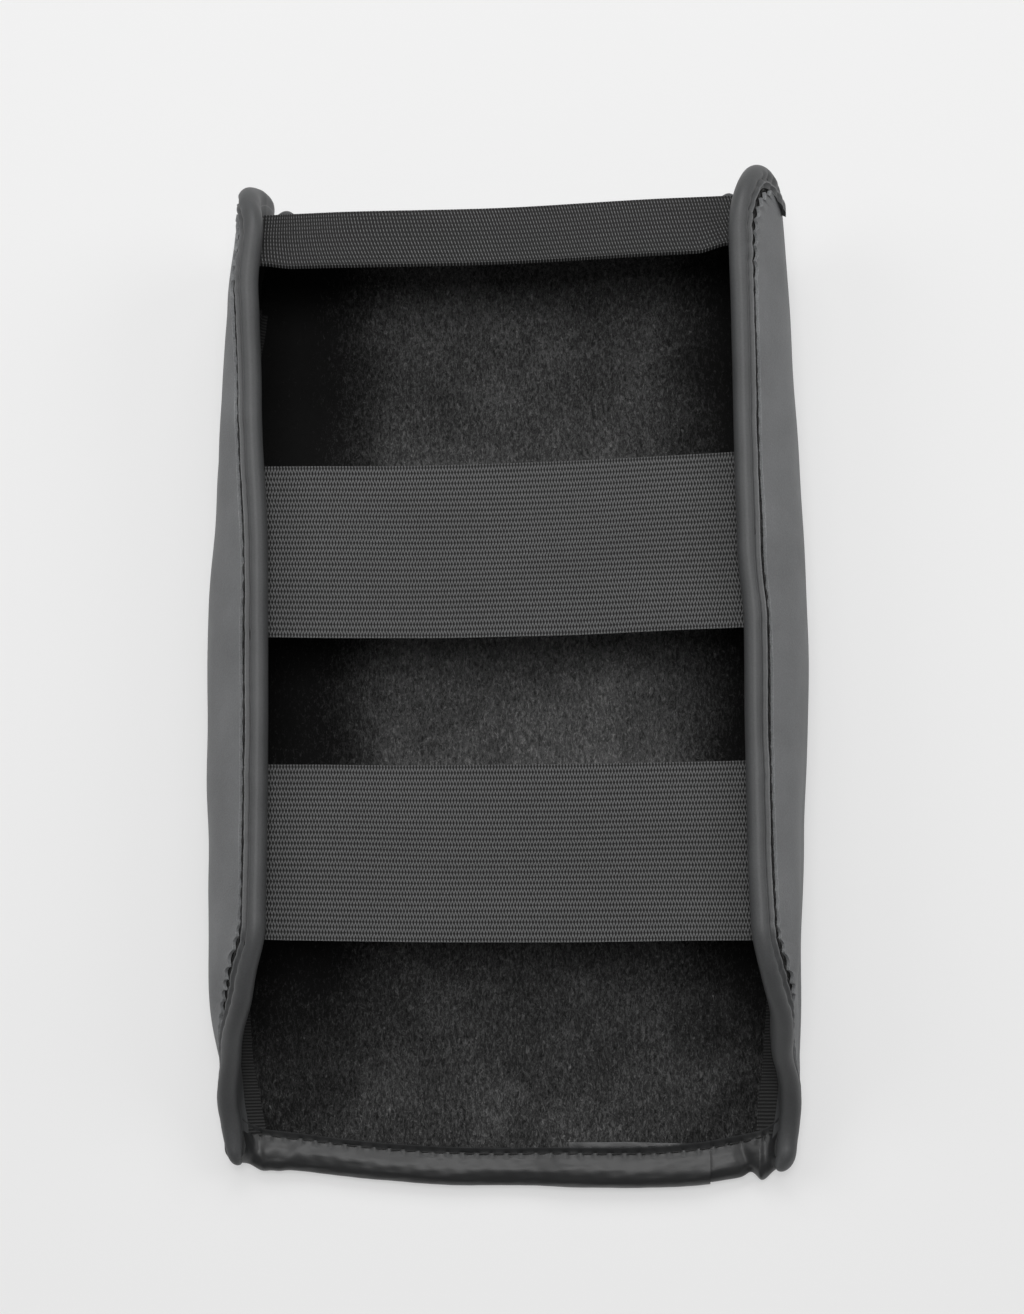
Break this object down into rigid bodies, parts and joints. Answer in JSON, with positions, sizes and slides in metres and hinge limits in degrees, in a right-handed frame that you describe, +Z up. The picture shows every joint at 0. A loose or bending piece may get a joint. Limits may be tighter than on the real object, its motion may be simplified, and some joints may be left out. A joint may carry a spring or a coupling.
{
  "type": "slip-on padded cover",
  "caption": "Slip-on padded cover in imitation leather over foam and felt, with bound rims, rounded ears and elastic straps across its open side.",
  "frame": {"origin": "under the middle of the cover, on the surface its face panel lies on", "axes": "+X across the cover, +Y from the open toe to the rounded ears, +Z up out of the open side"},
  "size_m": [0.1768, 0.2917, 0.0552],
  "materials": {
    "wall_leather": "fine grained imitation leather, matte",
    "binding_leather": "smooth imitation leather tape, low sheen",
    "foam": "grey laminating foam",
    "felt": "fibrous needle felt",
    "elastic": "ribbed knitted elastic",
    "grosgrain": "ribbed tape",
    "thread": "twisted sewing thread"
  },
  "bodies": {
    "cover": {"face_panel_leather": "wall_leather", "face_panel_foam": "foam", "face_panel_felt": "felt", "toe_binding_left": "binding_leather", "toe_binding_right": "binding_leather", "toe_stitching": "thread", "end_wall_binding": "binding_leather", "upper_strap_sewn_ends": "elastic", "lower_strap_sewn_ends": "elastic", "end_band_sewn_ends": "elastic", "left_wall_leather": "wall_leather", "left_wall_foam": "foam", "left_wall_lining": "felt", "left_rim_binding": "binding_leather", "left_rim_stitching": "thread", "left_seam_tape": "grosgrain", "right_wall_leather": "wall_leather", "right_wall_foam": "foam", "right_wall_lining": "felt", "right_rim_binding": "binding_leather", "right_rim_stitching": "thread", "right_seam_tape": "grosgrain"},
    "upper_strap_span": {"upper_strap": "elastic"},
    "lower_strap_span": {"lower_strap": "elastic"},
    "end_band_span": {"end_band": "elastic"}
  },
  "joints": [
    {"name": "upper_strap_stretch", "type": "slide", "parent": "cover", "child": "upper_strap_span", "axis": [0, 0, 1], "range_m": [-0.015, 0.035], "stiffness_N_per_m": 150},
    {"name": "lower_strap_stretch", "type": "slide", "parent": "cover", "child": "lower_strap_span", "axis": [0, 0, 1], "range_m": [-0.015, 0.035], "stiffness_N_per_m": 150},
    {"name": "end_band_stretch", "type": "slide", "parent": "cover", "child": "end_band_span", "axis": [0, 0.5151, 0.8571], "range_m": [-0.01, 0.02], "stiffness_N_per_m": 100}
  ]
}
